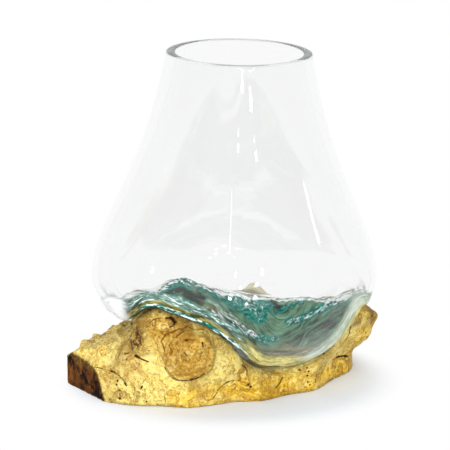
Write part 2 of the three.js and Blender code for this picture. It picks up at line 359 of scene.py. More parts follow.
# %% Lines on the wood, in millimetres, with their half width and depth
cracks = [
    # the points of a line, half width, depth
    ([(-94, -86, 45), (-90, -88, 46)], 0.6, 1.3),
    ([(-81, -90, 43), (-76, -91, 41)], 1.0, 2.0),
    ([(-76, -91, 41), (-70, -92, 39)], 0.6, 1.2),
    ([(-117, -69, 27), (-113, -73, 28.5), (-110, -77, 29), (-107, -81, 28.5)], 0.4, 0.6),
    ([(-107, -81, 28.5), (-104, -84, 27)], 0.8, 1.4),
    ([(-104, -84, 27), (-99, -88, 25.5), (-96, -89, 24.5), (-92.5, -90, 21.5), (-89, -90, 17)], 0.42, 0.7),
    ([(-90.5, -90, 19), (-89, -90, 17)], 0.7, 1.3),
    ([(-75.5, -91, 17.5), (-74.5, -91, 21.5), (-72, -91, 25)], 0.35, 0.5),
    ([(-76, -91, 16), (-75.4, -91, 17.6)], 0.75, 1.3),
    ([(-57, -94, 35), (-53, -94, 28), (-48, -95, 24.5), (-42, -96, 23.5), (-36, -97, 24)], 0.45, 1.0),
    ([(-36, -97, 24), (-30, -97, 26), (-25, -96, 29.5)], 0.75, 1.4),
    ([(-25, -96, 29.5), (-20, -93, 33), (-17, -91, 36)], 0.4, 0.9),
    ([(-26.3, -96, 57), (-26, -96, 54)], 0.7, 1.0),
    ([(-41, -100, 49), (-39, -100, 47.2)], 0.55, 0.9),
    ([(-40, -97, 60), (-38, -97, 58.7)], 0.5, 0.8),
    ([(-57, -92, 9), (-56.6, -91.5, 5), (-57, -91, 2)], 0.4, 0.8),
    ([(7, -78, 32), (9.2, -78, 30), (10.4, -78.5, 27), (10.2, -80, 23)], 0.55, 1.0),
    ([(23, -71, 23), (22.4, -74, 21.5), (23, -77, 20)], 0.35, 0.6),
    ([(40, -66, 17), (38.6, -69, 15), (38, -70, 13), (35, -73, 9)], 0.45, 0.8),
    (
        [(-22, -90, 4), (-17, -89, 7), (-14, -88, 11), (-12, -88, 15), (-8, -86, 18), (-2, -83, 19.5), (4, -81, 19)],
        0.45, 0.8,
    ),
    ([(99, -12, 14), (94, -16, 16.5), (89, -21, 18), (82, -35, 20)], 0.8, 1.2),
    ([(97, -33, 50), (95, -29, 42), (93, -27, 35), (88, -33, 30)], 0.7, 0.8),
]
# soft folds round the burl and by the knob: across and up on the front elevation, half width, depth
fold_lines = [
    (
        [(-39, 41.0), (-42, 38.8), (-45, 39.4), (-51.7, 36.2), (-56, 34.7), (-59.4, 29.1)]
        + [(-57.4, 23.2), (-56.7, 17.9)], 0.75, 0.6,
    ),
    ([(-40.2, 38.4), (-46.3, 34.1), (-50, 30.5), (-53.6, 25.8), (-51, 21.2), (-54, 16.0), (-56.7, 10.0)], 0.55, 0.5),
    ([(-38.2, 41.6), (-32.8, 38.7), (-24.8, 39.0), (-18.1, 33.1), (-16.4, 24.6)], 0.55, 0.5),
    ([(-15.6, 20.2), (-16.4, 15.3), (-19.4, 8.7)], 0.5, 0.5),
    ([(-44, 28.2), (-39.6, 31.1), (-33.5, 30.8), (-31, 28.2)], 0.5, 0.4),
    ([(-26.8, 21.2), (-28.8, 13.7), (-35.9, 11.3), (-41.6, 14.3)], 0.5, 0.4),
    ([(-88.6, 41.6), (-88, 36.4), (-85.2, 28.5), (-84, 21.9)], 0.8, 0.8),
    ([(-86, 43.0), (-84, 39.0), (-85.2, 32.5), (-81.2, 25.8)], 0.9, 0.9),
    ([(-80, 41.6), (-79.9, 36.4), (-77.2, 31.1), (-77.9, 25.8)], 0.8, 0.8),
    ([(-70, 43.2), (-66, 46.7), (-60, 48.2)], 0.6, 0.5),
]
# an open fold in the knob, given in the same way
mouth_lines = [
    ([(-51.6, 47.6), (-49.8, 46.8), (-48.7, 45), (-48.9, 43)], 1.5, 2.4),
    ([(-48.9, 43), (-50.4, 41.4), (-52.4, 40.8)], 0.6, 1.0),
    ([(-55.4, 48.2), (-51.6, 47.6)], 0.6, 1.0),
]
hole_places = [
    (74.5, -50, 31), (74, -52, 27.5), (61.5, -60, 19), (61, -61, 15), (70.5, -54, 11), (69.5, -55, 7), (63, -58, 6),
    (-90, -89, 40), (-99, -88, 20), (-100, -88, 17), (-95, -88, 12), (-95, -88, 5), (-104, -85, 3), (-72, -90, 4),
    (11, -81, 15), (13, -81, 13), (54, -58, 20), (60, -58, 22), (59, -61, 19), (69, -55, 14), (68, -54, 9),
    (68, -54, 7), (61, -59, 9), (73, -48, 32), (72, -53, 30),
]
hole_depth = 1.6
chance = np.random.default_rng(21)
surface = BVHTree.FromObject(wood, bpy.context.evaluated_depsgraph_get())


def on_wood(point):
    """The place on the wood that is nearest to a point."""
    found = surface.find_nearest(Vector(point) / 1000)
    return np.array(found[0]) * 1000


def on_front(across, up):
    """The place on the wood that is seen at a point of the front elevation, or the next one below it."""
    found, in_front = None, -300.0
    while found is None:
        start = Vector((across, in_front, (up - view_down * in_front) / view_level)) / 1000
        found = surface.ray_cast(start, Vector((0, view_level, -view_down)))[0]
        up -= 0.5
    return np.array(found) * 1000


for line, width, depth in mouth_lines:
    cracks.append(([on_front(*spot) for spot in line], width, depth))
folds = [([on_front(*spot) for spot in line], width, depth) for line, width, depth in fold_lines]


def beside_root(turn, height):
    """A point outside the root, by its angle round it."""
    return np.array([-8 + 150 * np.cos(turn), 120 * np.sin(turn), height])


# the sides and the back, which are seen as often, get cracks and holes of the same kinds
for turn in np.radians(chance.uniform(-20, 190, 26)):
    start = beside_root(turn, chance.uniform(8, 40))
    step = np.array([-np.sin(turn), np.cos(turn), 0]) * chance.uniform(1.5, 4) + [0, 0, chance.uniform(-3, 3)]
    line = [on_wood(start + step * k + chance.uniform(-1.2, 1.2, 3)) for k in range(5)]
    cracks.append((line, chance.uniform(0.35, 0.8), chance.uniform(0.6, 1.4)))
for turn in np.radians(chance.uniform(-20, 190, 30)):
    hole_places.append(on_wood(beside_root(turn, chance.uniform(4, 42))))
for place in hole_places:
    cracks.append(([tuple(place), tuple(np.add(place, 0.01))], chance.uniform(0.7, 1.05), hole_depth))
print("lines and holes in the wood:", len(cracks))


def away_from(points, line):
    """Distance of each point from a line of points."""
    nearest = np.full(len(points), 1e9)
    for a, b in zip(np.array(line[:-1], float), np.array(line[1:], float)):
        along = b - a
        t = np.clip((points - a) @ along / max(along @ along, 1e-9), 0, 1)
        nearest = np.minimum(nearest, np.linalg.norm(points - a - t[:, None] * along, axis=1))
    return nearest


def round_line(points, line, margin):
    """Numbers of the points in a box about a line."""
    return np.flatnonzero(np.all((points > np.min(line, 0) - margin) & (points < np.max(line, 0) + margin), axis=1))


# %% A finer division along the lines
points = points_of(wood.data)
from_line = np.full(len(points), 1e9)
grooves = [([on_wood(p) for p in line], width, depth) for line, width, depth in cracks + folds]
for line, width, depth in grooves:
    inside = round_line(points, line, 5)
    from_line[inside] = np.minimum(from_line[inside], away_from(points[inside], line) - 1.6 * width)
work = bmesh.new()
work.from_mesh(wood.data)
work.verts.ensure_lookup_table()
close = from_line < 1.2
chosen = [e for e in work.edges if close[e.verts[0].index] and close[e.verts[1].index]]
bmesh.ops.subdivide_edges(work, edges=chosen, cuts=2, use_grid_fill=True)
bmesh.ops.triangulate(work, faces=[f for f in work.faces if len(f.verts) > 4])
work.to_mesh(wood.data)
work.free()
print("wood, divided along its cracks: %d points, %d faces" % (len(wood.data.vertices), len(wood.data.polygons)))

# %% [markdown]
# ## Relief, and keeping clear of the glass
# Burl wood is lumpy at every size. Lumps of 30 mm, folds of 10 mm and grain of 3 mm are added along the
# surface's own direction, and the cracks are pressed in. The thin wing at the left ends in a row of knobs.
# Last, any point that came nearer to the outside of the bowl than a small gap is moved back to it, so that the
# bowl still lifts off freely. The gap is kept, and where it is narrow the wood's colour is darkened as painted shade.

# %% Lumps, folds, the burl's rings and the cracks
points = points_of(wood.data)
x, y, z = points.T
normals = read(wood.data.vertex_normals, "vector")
from_saw = (points[:, :2] - saw_back) @ saw_out
top_or_side = smooth(z, 0.4, 5.0)
sawn = smooth(from_saw, -1.2, -0.3)
free_surface = top_or_side * (1 - 0.9 * smooth(from_saw, -2.5, -0.5))

burl_centre = np.array([-37.0, -98.0, 45.0])
from_burl = np.hypot(x - burl_centre[0], z - burl_centre[2])
from_burl += 1.6 * bumps(points, 9, 5.5) + 0.8 * bumps(points, 4, 2.5)
at_front = smooth(y, -78, -88)
burl_turn = np.arctan2(z - burl_centre[2], x - burl_centre[0])
# the ring is deeper and darker along its lower side: its brown line is the wood's own, and the extra darkness there is
# painted shade under the disc's edge
ring_depth_and_shade = 0.35 + 0.65 * bell(burl_turn, -1.9, 0.9)
burl_ring = bell(from_burl, 21.5, 1.1) * at_front * smooth(z, 20, 26) * ring_depth_and_shade
burl_folds = np.sin(from_burl * 1.15 + 2.5 * bumps(points, 11, 9.2)) * smooth(from_burl, 20, 16) * at_front

relief = 1.5 * bumps(points, 26) + 1.0 * bumps(points, 12, 4.2) + 0.55 * np.abs(bumps(points, 6.5, 7.7))
relief += 0.3 * bumps(points, 2.8, 1.9) + 0.45 * burl_folds - 0.9 * burl_ring
on_wing = smooth(x, -78, -92) * smooth(up_on_front(points), 12, 24)
across_wing = points * [1, 0.25, 1]  # knobs that are long from front to back stay apart in the outline
knobs = 6.0 * np.clip(bumps(across_wing, 8, 9.9), 0, 1) + 3.6 * np.clip(bumps(across_wing, 4.5, 3.3), 0, 1)
relief += on_wing * (knobs + 0.8 * bumps(points, 8, 9.9) - 0.5)
relief *= free_surface
crack_depth, crack_shade, fold_shade = np.zeros((3, len(points)))
for number, (line, width, depth) in enumerate(grooves):
    inside = round_line(points, line, 6)
    away = away_from(points[inside], line) + 0.5 * width * bumps(points[inside], 2.0, 3.3)
    crack_depth[inside] = np.maximum(crack_depth[inside], depth * bell(away, 0, width))
    shade = np.clip(width / 0.7, 0.5, 1) * bell(away, 0, 0.9 * width)
    into = crack_shade if number < len(cracks) else fold_shade
    into[inside] = np.maximum(into[inside], shade)
fold_shade *= np.clip(0.85 + 0.6 * bumps(points, 6, 4.4), 0.35, 1)
relief -= crack_depth * top_or_side
# the saw left fine upright marks on its cut
relief += sawn * (0.22 * bumps(points * [1, 1, 0.12], 2.4, 6.6) + 0.2 * bumps(points, 5, 3.8) - 0.3)
points = points + normals * relief[:, None]
points[:, 2] = np.maximum(points[:, 2], 0.0)

# %% The least gap to the glass
least_gap, deepest_overlap, search, far_off = 0.35, 6.0, 40.0, 60.0
inside_bowl = Vector((0, 0, 150))
outer_skin = BVHTree.FromPolygons(
    [Vector(p) for p in outer_rings.reshape(-1, 3)], skin_faces(len(outer_rings)), all_triangles=False
)
gap = np.full(len(points), far_off)
for i, point in enumerate(points):
    place, facing, _, far = outer_skin.find_nearest(Vector(point), search)
    if place is None:
        continue
    outward = facing if facing @ (place - inside_bowl) > 0 else -facing
    clear = (Vector(point) - place) @ outward
    if far > deepest_overlap:
        clear = far
    elif clear < least_gap:
        points[i] += np.array(outward) * (least_gap - clear)
        clear = least_gap
    gap[i] = clear
points[:, 2] = np.maximum(points[:, 2], 0.0)
set_points(wood.data, points)
wood.data.shade_smooth()
print("least gap to the glass %.2f mm, lowest point %.3f mm" % (gap.min(), points[:, 2].min()))
print("relief from %.1f to %.1f mm" % (relief.min(), relief.max()))

# %% Where the wood is cut, cracked, folded or under the glass
def store(mesh, most=1, **marks):
    """Stores named values on the points of a mesh, from 0 to the given most."""
    for name, values in marks.items():
        carrier = mesh.attributes.new(name, "FLOAT", "POINT")
        carrier.data.foreach_set("value", np.clip(values, 0, most).astype(np.float32))


def store_vectors(mesh, name, vectors):
    carrier = mesh.attributes.new(name, "FLOAT_VECTOR", "POINT")
    carrier.data.foreach_set("vector", vectors.astype(np.float32).ravel())


def patch(points, centre, reach):
    """Soft round patch about a point, 1 in its middle."""
    return bell(np.linalg.norm((points - centre) / reach, axis=1), 0, 1)


x, y, z = points.T
inward = np.hypot(x, y)
under_glass = smooth(gap, 3.0, 1.0) * smooth(inward, 119, 111)
wander = bumps(points, 14, 2.2) + 0.6 * bumps(points, 5, 8.1)
deep_under = smooth(inward + 4 * wander - 8 * smooth(x, 30, 90), 104, 84) * under_glass
store(
    wood.data,
    sawn=sawn * smooth(z, 0.0, 0.6),
    crack=crack_shade * top_or_side,
    ring=np.maximum(0.8 * burl_ring, fold_shade),
    burl=smooth(from_burl, 22, 18) * at_front,
    scorch=deep_under,
    seat=under_glass,
    # painted shade: darker where the gap to the glass is narrow
    contact=bell(gap, 0.5, 0.9) * smooth(inward, 107, 113),
    # painted shade: darker where the relief is low, in its hollows
    hollow=0.5 - relief / 3.0,
    # darker along the lowest few millimetres: painted shade where the wood meets the floor
    foot=smooth(z + 1.5 * wander, 4.5, 0.5),
)
print("share under the glass %.2f, scorched %.2f" % (under_glass.mean(), deep_under.mean()))

# %% Where its ground is pale, golden, mossy or brown
pale = smooth(x + 9 * wander, -62, -84)
golden = smooth(x + 6 * wander, -62, -46) * smooth(z - 7 * wander, 26, 10)
olive = patch(points, (-94, -70, 52), (9, 40, 20)) + 0.9 * patch(points, (-84, -84, 72), (14, 24, 9))
brown = 1.3 * patch(points, (-80, -87, 57), (8, 20, 12)) + patch(points, (117, -8, 53), (5, 22, 11))
knob = patch(points, (-57, -90, 68), (22, 30, 17))
# the sawn end: a dark stain runs down it from its back corner to the front of its foot, under a pale upper edge
along_saw = (points[:, :2] - saw_back) @ saw_along
stain_height = np.interp(along_saw, [0, 8, 22, 36, 50], [26, 21, 14, 7, 1])
store(
    wood.data,
    pale=pale * (1 - 0.8 * patch(points, (-78, -88, 62), (14, 30, 16))),
    golden=golden + 0.9 * patch(points, (110, -12, 42), (20, 34, 22)),
    olive=olive + 0.6 * patch(points, (-48, -92, 84), (30, 20, 7)),
    brown=brown + 1.2 * patch(points, (100, -20, 50.5), (6, 14, 4)),
    lump=patch(points, (18, 106, 46), (24, 34, 20)) * smooth(y, 66, 84),
    rosy=patch(points, (-84, -90, 34), (12, 20, 12)),
    knob=knob + 0.6 * patch(points, (115, -10, 50), (9, 24, 12)),
    stain=bell(z + 2.5 * wander, stain_height, 5.5),
    sapwood=smooth(z + 2 * wander, 19, 27) * smooth(along_saw, 6, 16),
)
print("share that is pale %.2f, golden %.2f, brown %.2f" % tuple((v > 0.5).mean() for v in (pale, golden, brown)))

# %% [markdown]
# ## Smoke, streaks and bubbles in the base
# The thick base shows teal streaks that run down from the ridges into the valley, grey-green smoke between
# them, and small bubbles. White lines among the streaks and the pale band on the right are painted reflections
# of the white room on the wavy glass, and the pale hanging part at the left is painted light. All of it lies at
# the inner face of the glass, so it is made as one thin sheet that follows that face. Its material is
# see-through wherever there is no streak. The streaks are laid out on the front elevation, tilted back as the
# valley is: they fall steeply from the left crest, turn level in the middle of the valley, and climb to the right.

# %% The sheet over the inner face of the base
film = 0.35  # how far the sheet lies above the inner face
sheet_profile = bottom_curve(belly_radius - belly_wall - film, free_sag - base_wall - film, 118)[3:-4]
sheet_rings = rings(sheet_profile, base_wall + film)
sheet_rings[..., 2] += blown_waves(sheet_rings)
sheet_rings[..., 2] += film * (1 + bumps(sheet_rings, 9, 6.1))
sheet_points = sheet_rings.reshape(-1, 3)
hub = [0, 0, sheet_rings[0, :, 2].mean()]
sheet_faces = skin_faces(len(sheet_rings)) + cap_faces(len(sheet_points), 0, flip=True)
sheet_points = np.vstack([sheet_points, hub])
smoke = mesh_object("base_smoke", sheet_points, sheet_faces)


def front_of(points):
    """Places on the front elevation, across and up."""
    return np.stack([points[:, 0], up_on_front(points), 0 * points[:, 0]], 1)


front = front_of(sheet_points)
x, y, z = sheet_points.T
side, up = front[:, 0], front[:, 1]
print("smoke sheet: %d points" % len(sheet_points))

# %% How the streaks run
slope_places = [-90, -62, -47, -34, 0, 18, 34, 46, 62, 110]
slopes = [0.30, 0.45, 0.0, -0.85, -0.95, -0.75, -0.25, 0.20, 0.68, 0.72]
walk = np.linspace(-125, 125, 501)
fall = np.cumsum(np.interp(walk, slope_places, slopes)) * (walk[1] - walk[0])
slope_here = np.interp(side, slope_places, slopes)
across = (up - np.interp(side, walk, fall)) / np.hypot(1, slope_here)
across += 2.0 * bumps(front, 23, 3.0) + 0.7 * bumps(front, 8, 5.0)
flow = np.stack([side / 70, across / 10, y / 60], 1)
store_vectors(smoke.data, "flow", flow)
print("streaks fall to the left by %.2f and rise to the right by %.2f" % (min(slopes), max(slopes)))


# %% Where teal, dark and golden glass and painted reflections lie, in millimetres on the elevation
def flat(line):
    """A line on the elevation as points with three values."""
    return [(*place, 0) for place in line]


def band(points, line, width):
    """Soft band along a line of points."""
    return bell(away_from(points, flat(line)), 0, width)


far_edge = [(-112, 62), (-90, 65), (-70, 70), (-58, 75), (-46, 79), (-33, 72), (-19, 67), (-6, 64), (5, 62), (18, 59.5)]
far_edge += [(30, 59), (45, 58), (59, 58.5), (76, 58.5), (88, 60), (100, 66), (118, 68)]
edge_height = np.interp(side, *zip(*far_edge))
ragged_edge = 0.9 * bumps(front, 7, 2.0) + 0.7 * bumps(front, 3, 1.0)
under_edge = smooth(up - edge_height + ragged_edge, 1.2, -0.8)
# a painted highlight along the far edge of the smoke
edge_highlight = bell(up + 1.2 * ragged_edge, edge_height - 1.2, 1.5)
reach = np.hypot(x, y)
support = seat_height(x, y)
draped = smooth(z - support - base_wall, 9, 4)
plan = sheet_points * [1, 1, 0]
inner_part = smooth(y, -52, -36)
left_front = band(plan, [(-92, -40), (-72, -76), (-48, -96), (-16, -96)], 17)
hanging = smooth(x, -72, -92)
clear_area = band(front, [(100, 51), (89, 42), (74, 33), (60, 27), (50, 25)], 8) * inner_part
clear_area = np.maximum(clear_area, band(front, [(100, 54), (88, 46)], 5))
diagonal = band(front, [(96, 60), (84, 54.5), (74, 49.5), (61, 42), (47, 37.5)], 3.6) * inner_part
clear_area *= 1 - 0.8 * np.minimum(diagonal, 1)
diagonal += 0.6 * band(front, [(60, 56), (47, 51), (36, 46)], 2.2)
cluster = band(front, [(-12, 64), (2, 57), (13, 50), (22, 44)], 6.0) + 0.8 * band(front, [(14, 56), (30, 52)], 3.5)
arc = band(front, [(-64, 65), (-46, 66), (-38, 62), (-27, 51), (-18, 43)], 2.2)
crest = band(front, [(-60, 72), (-46, 76), (-38, 73), (-26, 68), (-12, 66)], 2.6)
low_streaks = band(front, [(-2, 34), (14, 26), (26, 23), (42, 24)], 3.4) * inner_part
mid_streaks = band(front, [(-20, 56), (-6, 45), (6, 36), (16, 28)], 3.4)
slate = band(front, [(-52, 70), (-44, 71.5), (-36, 66), (-26, 61)], 1.8)
slate += band(front, [(-48, 60), (-36, 56), (-28, 48)], 3.4) + band(front, [(-8, 40), (8, 28), (16, 21)], 3.2)
slate += 1.2 * band(front, [(34, 57), (38, 50), (44, 49)], 3.4) + 0.9 * band(front, [(-14, 60), (-4, 54), (6, 48)], 1.8)
low_front = smooth(x, -30, -6) * smooth(x, 70, 44) * smooth(y, -30, -52)
# the pale lobe on the right is a painted reflection band
right_lobe = band(front, [(108, 54), (99, 44), (87, 30), (73, 18), (58, 11), (40, 8)], 3.6) * smooth(x, 30, 46)
print("golden band along the left front: %.2f of the sheet" % (left_front > 0.5).mean())

# %% What the smoke's material reads from the sheet
cover = draped * under_edge * smooth(reach, 116.4, 114.8)
teal_share = 0.12 + 0.85 * diagonal + 1.25 * cluster + 0.5 * arc + 0.55 * crest + 0.45 * low_streaks
# the white lines are painted reflections of the white room on the wavy glass
white_share = 0.10 + 0.5 * diagonal + 0.38 * cluster + 0.5 * arc + 0.7 * edge_highlight + 0.5 * mid_streaks + 0.35 * low_streaks
over_arm = band(front, [(88, 63), (98, 63), (108, 58)], 4.5)
store(
    smoke.data,
    cover=cover * (1 - 0.3 * hanging) * (1 - 0.75 * low_front),
    teal=teal_share - clear_area,
    white=white_share + 0.35 * hanging - clear_area,
    dark=0.25 + 0.75 * slate + 0.7 * clear_area,
    calm=clear_area,
    gold=0.3 * left_front * smooth(up, 62, 56) + low_front,
    # pale painted reflection on the right lobe, and painted light on the hanging part and over the arm
    veil=np.maximum(np.maximum(right_lobe, 0.8 * hanging), over_arm),
)
print("share of the sheet that is covered: %.2f" % (cover > 0.5).mean())

# %% [markdown]
# Where the glass ends over the wood it turns under in a rounded lip. Its edge holds a narrow teal ribbon with
# painted white highlights under the left crest, and clear olive-yellow glass all along the front and up to the
# right, where it turns pale with painted reflection. A strip is laid on the skin there, from the turn of the lip
# to the height at which the smoke begins. Its finish needs to know only how far up from the lip's edge a point
# is, so that distance is stored on it.

# %% The coloured lip along the front
turn_of = (np.degrees(angles) + 220) % 360 - 220
lip_columns = sorted((i for i in range(turns) if -196 <= turn_of[i] <= -14), key=lambda i: turn_of[i])
lip_rows, above_skin = 44, 0.3
rows_below, rows_above = 46, 10  # how far the strip may reach from the belly, in rings of the outside
lip_points, lip_turn, outline = [], [], []
for i in lip_columns:
    column = outer_rings[len(bottom) - rows_below : len(bottom) + rows_above, i]
    run = np.concatenate([[0], np.cumsum(np.linalg.norm(np.diff(column, axis=0), axis=1))])
    along = np.array([-np.sin(angles[i]), np.cos(angles[i]), 0])
    # the lowest place of the turned edge on the front elevation
    lowest = int(np.argmin(up_on_front(column)))
    if turn_of[i] < -66:
        outline.append((column[lowest, 0], up_on_front(column[lowest])))
    for at in np.linspace(max(run[lowest] - 1.0, 0.0), run[-2], lip_rows):
        spot, ahead = (np.array([np.interp(at + step, run, column[:, axis]) for axis in range(3)]) for step in (0, 1))
        normal = np.cross(along, ahead - spot)
        lip_points.append(spot + above_skin * normal / (np.linalg.norm(normal) + 1e-9))
        lip_turn.append(turn_of[i])
# on the right the edge of the pale lobe, a painted reflection band, takes over
outline += [(52, 5.6), (63, 9.5), (74, 16), (85, 25), (93.5, 37), (101.5, 52), (106, 57)]
lip_points, lip_turn = np.array(lip_points), np.array(lip_turn)
lip_up = away_from(front_of(lip_points), flat(outline))
print("edge of the lip: %d places, lowest %.1f mm up the elevation" % (len(outline), min(y for _, y in outline)))

# %% The strip's faces and what is stored on it
strip_height = 17
ribbon_faces = []
for c in range(len(lip_columns) - 1):
    for k in range(lip_rows - 1):
        a, b = c * lip_rows + k, (c + 1) * lip_rows + k
        if min(lip_up[[a, b, a + 1, b + 1]]) < strip_height:
            ribbon_faces.append((a, b, b + 1, a + 1))
ribbon = mesh_object("lip_ribbon", lip_points, ribbon_faces)
store(ribbon.data, most=1000, up=lip_up)
store(
    ribbon.data,
    left=smooth(lip_turn, -80, -90),
    hanging=smooth(lip_turn, -134, -142),
    thread=smooth(lip_turn, -132, -126),
    right=smooth(lip_points[:, 0], 44, 66),
    fade=smooth(lip_turn, -196, -188) * smooth(lip_turn, -14, -20),
)
store_vectors(ribbon.data, "flow", np.stack([lip_points[:, 0] / 40, lip_up / 9, lip_points[:, 2] / 60], 1))
loose = bmesh.new()
loose.from_mesh(ribbon.data)
bmesh.ops.delete(loose, geom=[v for v in loose.verts if not v.link_faces], context="VERTS")
loose.to_mesh(ribbon.data)
loose.free()
print("coloured lip: %d points in %d columns" % (len(ribbon.data.vertices), len(lip_columns)))

# %% The painted shadow line that the lip throws on the wood
wood_points = points_of(wood.data)
wood_front = front_of(wood_points)
under_lip = away_from(wood_front, flat([(x, y + 0.8) for x, y in outline if -76 < x < 64]))
under_lip += 0.5 * bumps(wood_front, 6, 2.0)
x, y, z = wood_points.T
line_width = np.interp(x, [-70, -20, 30, 64], [3.4, 3.0, 2.6, 1.2])
on_front_side = smooth(y, -50, -60) * smooth(x, 62, 40)
lip_shadow = bell(under_lip, 0, line_width) * on_front_side
store(wood.data, lip_shadow=lip_shadow)
print("points of the wood in the lip's shadow:", int((lip_shadow > 0.5).sum()))

# %% [markdown]
# The bubbles were trapped where the glass folded. They are small beads of random size, most of them by the
# ridge and in the smooth dark part of the valley, and a few are scattered in the wall over it.

# %% Bubbles in the glass
seeds = np.random.default_rng(11)
beads = bmesh.new()
# they lie in the middle of the wall, before and where it drapes
in_wall_radius, in_wall_sag, in_wall_lift = 118.0, 76.0, 4.6
bubble_groups = [
    # plan centre, spread, how many
    ((-44, -84), (16, 10), 26),
    ((84, 18), (12, 16), 22),
    ((58, -16), (12, 8), 20),
    ((30, -30), (22, 22), 24),
    ((8, 30), (40, 40), 40),
]
for (cx, cy), (sx, sy), count in bubble_groups:
    for _ in range(count):
        x, y = seeds.normal(cx, sx), seeds.normal(cy, sy)
        if np.hypot(x, y) > 106:
            continue
        free = belly_height - in_wall_sag * np.sqrt(1 - (x * x + y * y) / in_wall_radius**2)
        height = drape_over(free, seat_height(x, y) + in_wall_lift)
        size = min(1.1, 0.3 + seeds.exponential(0.22))
        ball = bmesh.ops.create_icosphere(beads, subdivisions=2, radius=size / 1000)
        spot = np.array([x, y, height + seeds.uniform(-0.6, 1.0)]) / 1000
        bmesh.ops.translate(beads, verts=ball["verts"], vec=spot)
bubble_mesh = bpy.data.meshes.new("bubbles")
beads.to_mesh(bubble_mesh)
beads.free()
bubble_mesh.shade_smooth()
bubbles = put_in_scene("base_bubbles", bubble_mesh)
print("bubbles: %d faces" % len(bubble_mesh.polygons))

# %% [markdown]
# ## Writing materials as sums
# A material is a graph of nodes, but most of it is arithmetic. One small class stands for a socket, and its
# operators add the Math nodes. Its add method makes any other node. The materials below then read like
# formulas for how much light, dark, teal or crack there is at a point. Two short methods do most of the
# colouring: shades turns a level into a range between two colours, and over lays a colour on another. Colours
# are given by their six-digit codes.

# %% A socket that can be added, multiplied and mixed
def paint(code):
    """Colour from its six-digit code, as linear values for a shader."""
    parts = np.array([int(code[i : i + 2], 16) for i in (1, 3, 5)]) / 255
    linear = np.where(parts <= 0.04045, parts / 12.92, ((parts + 0.055) / 1.055) ** 2.4)
    return (*[float(v) for v in linear], 1.0)


class Wire:
    """One output socket of a material's tree."""

    def __init__(self, tree, socket=None):
        self.tree, self.socket = tree, socket

    def plug(self, target, value):
        if isinstance(value, Wire):
            self.tree.links.new(value.socket, target)
        else:
            target.default_value = value

    def add(self, kind, settings=None, values=None, out=0):
        """A node of a kind, with its settings and then its sockets' values or links."""
        node = self.tree.nodes.new(kind)
        for name, value in (settings or {}).items():
            setattr(node, name, value)
        for name, value in (values or {}).items():
            self.plug(node.inputs[name], value)
        return Wire(self.tree, node.outputs[out])

    def math(self, operation, *values, clamp=False):
        settings = {"operation": operation, "use_clamp": clamp}
        return self.add("ShaderNodeMath", settings, dict(enumerate(values)))

    def __add__(self, other):
        return self.math("ADD", self, other)

    __radd__ = __add__

    def __sub__(self, other):
        return self.math("SUBTRACT", self, other)

    def __rsub__(self, other):
        return self.math("SUBTRACT", other, self)

    def __mul__(self, other):
        return self.math("MULTIPLY", self, other)

    __rmul__ = __mul__

    def __abs__(self):
        return self.math("ABSOLUTE", self)

    def clip(self):
        return self.math("ADD", self, 0.0, clamp=True)

    def most(self, other):
        """The greater of two values."""
        return self.math("MAXIMUM", self, other)

    def vector(self, operation, *values, out=0):
        """Maths with vectors, from this one on."""
        values = dict(enumerate((self, *values)))
        return self.add("ShaderNodeVectorMath", {"operation": operation}, values, out)

    def noise(self, scale, detail=2.0, rough=0.5, warp=0.0, out=0):
        """Smooth noise read at this place."""
        values = {"Vector": self, "Scale": scale, "Detail": detail, "Roughness": rough, "Distortion": warp}
        return self.add("ShaderNodeTexNoise", None, values, out)

    def rise(self, low, high):
        """0 below low and 1 above high, with a soft step between."""
        values = {"Value": self, "From Min": low, "From Max": high}
        return self.add("ShaderNodeMapRange", {"interpolation_type": "SMOOTHSTEP"}, values)

    def colour(self, under, over):
        """under where this is 0, and over where it is 1."""
        values = {0: self.clip(), 6: under, 7: over}
        return self.add("ShaderNodeMix", {"data_type": "RGBA"}, values, out=2)

    def between(self, first, last):
        """The colour of the first code where this is 0, and of the last where it is 1."""
        return self.colour(paint(first), paint(last))

    def shades(self, low, high, first, last):
        """The colour of the first code below low, and of the last above high."""
        return self.rise(low, high).between(first, last)

    def over(self, under, code):
        """The colour of a code laid over another colour, by this share."""
        return self.colour(under, paint(code))

    def stored(self, name):
        """A value that is stored on the mesh."""
        return self.add("ShaderNodeAttribute", {"attribute_name": name}, out="Fac")


def new_finish(name, mesh):
    """A wire to start from and the output node of a new material, which becomes a mesh's only one."""
    material = bpy.data.materials.new(name)
    material.use_nodes = True
    tree = material.node_tree
    tree.nodes.clear()
    mesh.materials.clear()
    mesh.materials.append(material)
    return Wire(tree), tree.nodes.new("ShaderNodeOutputMaterial")


def surface_of(wire, output, values):
    """One Principled shader with the given values as the whole surface."""
    wire.plug(output.inputs["Surface"], wire.add("ShaderNodeBsdfPrincipled", None, values))
    print("nodes in this material:", len(wire.tree.nodes))


print("a warm oak yellow in linear values:", [round(v, 3) for v in paint("#E3B85A")[:3]])

# %% [markdown]
# ## Clear glass
# Glass is one shader with full transmission. Its colour comes from depth, not from paint: light loses a
# little more red than green on each millimetre, so the wall stays nearly clear while its edges and the thick
# base turn grey-green. Faint smears of handling change the roughness.

# %% The bowl's glass
wire, output = new_finish("clear_glass", bowl.data)
place = wire.add("ShaderNodeTexCoord", out="Object")
smear = place.noise(9.0, 3.0, 0.6, 0.8)
tint = place.noise(5.0, 2.0)
clear = tint.between("#FBFBFB", "#FCFCFC")
rough = smear.rise(0.55, 0.8) * 0.03
surface_of(wire, output, {"Base Color": clear, "Roughness": rough, "IOR": 1.5, "Transmission Weight": 1.0})
kept_colour, density = (0.84, 0.88, 0.87), 12.0
depth = wire.add("ShaderNodeVolumeAbsorption", None, {"Color": (*kept_colour, 1.0), "Density": density})
wire.plug(output.inputs["Volume"], depth)
# clear glass would throw a solid shadow here, and the real one throws almost none
bowl.visible_shadow = False
print("glass loses per metre:", [round(density * (1 - c), 1) for c in kept_colour])
